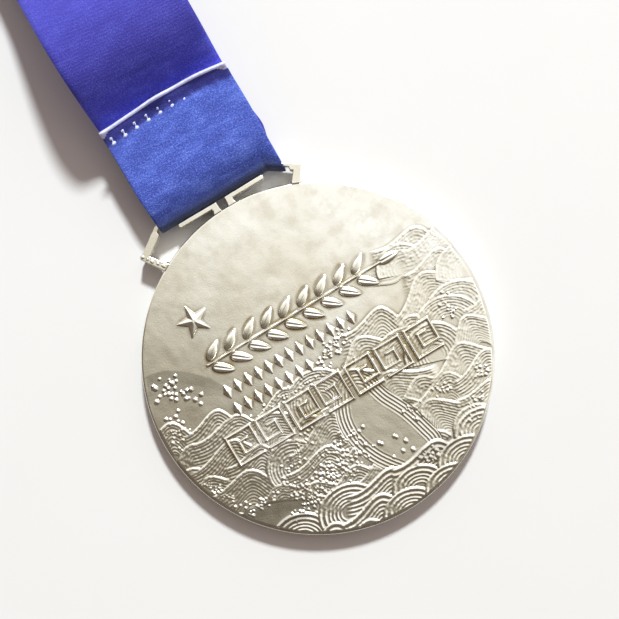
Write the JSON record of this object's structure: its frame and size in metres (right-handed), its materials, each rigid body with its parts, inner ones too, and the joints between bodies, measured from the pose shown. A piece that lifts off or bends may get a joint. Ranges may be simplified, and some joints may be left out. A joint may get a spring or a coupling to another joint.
{
  "type": "award medal",
  "caption": "Round silver-coloured award medal with wave relief, a ribbon frame with two keepers, and a blue neck ribbon folded into a banded hank.",
  "frame": {"origin": "centre of the disc's flat back face, which lies on the table", "axes": "+Z out of the decorated face, +Y from the disc towards the ribbon, +X to the face's right"},
  "size_m": [0.065, 0.2005, 0.0152],
  "materials": {
    "silver": "satin",
    "ribbon": "matte",
    "thread": "matte",
    "band": "matte"
  },
  "bodies": {
    "medal": {"medal_disc": "silver", "ribbon_frame": "silver", "solder_beads": "silver", "keeper_left": "silver", "keeper_right": "silver"},
    "ribbon_loop": {"ribbon_fold": "ribbon", "ribbon_front_layer": "ribbon", "ribbon_back_layer": "ribbon", "seam_stitches": "thread"},
    "neck_ribbon": {"neck_strand_upper": "ribbon", "neck_strand_lower": "ribbon", "ribbon_hank": "ribbon"},
    "band": {"hank_band": "band"}
  },
  "joints": [
    {"name": "ribbon_swing", "type": "hinge", "parent": "medal", "child": "ribbon_loop", "pos_m": [0, 0.0358, 0.0025], "axis": [1, 0, 0], "range_deg": [-110, 110], "deforming": ["ribbon_fold"]},
    {"name": "seam_bend", "type": "hinge", "parent": "ribbon_loop", "child": "neck_ribbon", "pos_m": [0, 0.05585, 0.00645], "axis": [1, 0, 0], "range_deg": [-60, 60]},
    {"name": "band_slide", "type": "slide", "parent": "neck_ribbon", "child": "band", "axis": [0, 1, 0], "range_m": [-0.02, 0.046]}
  ]
}
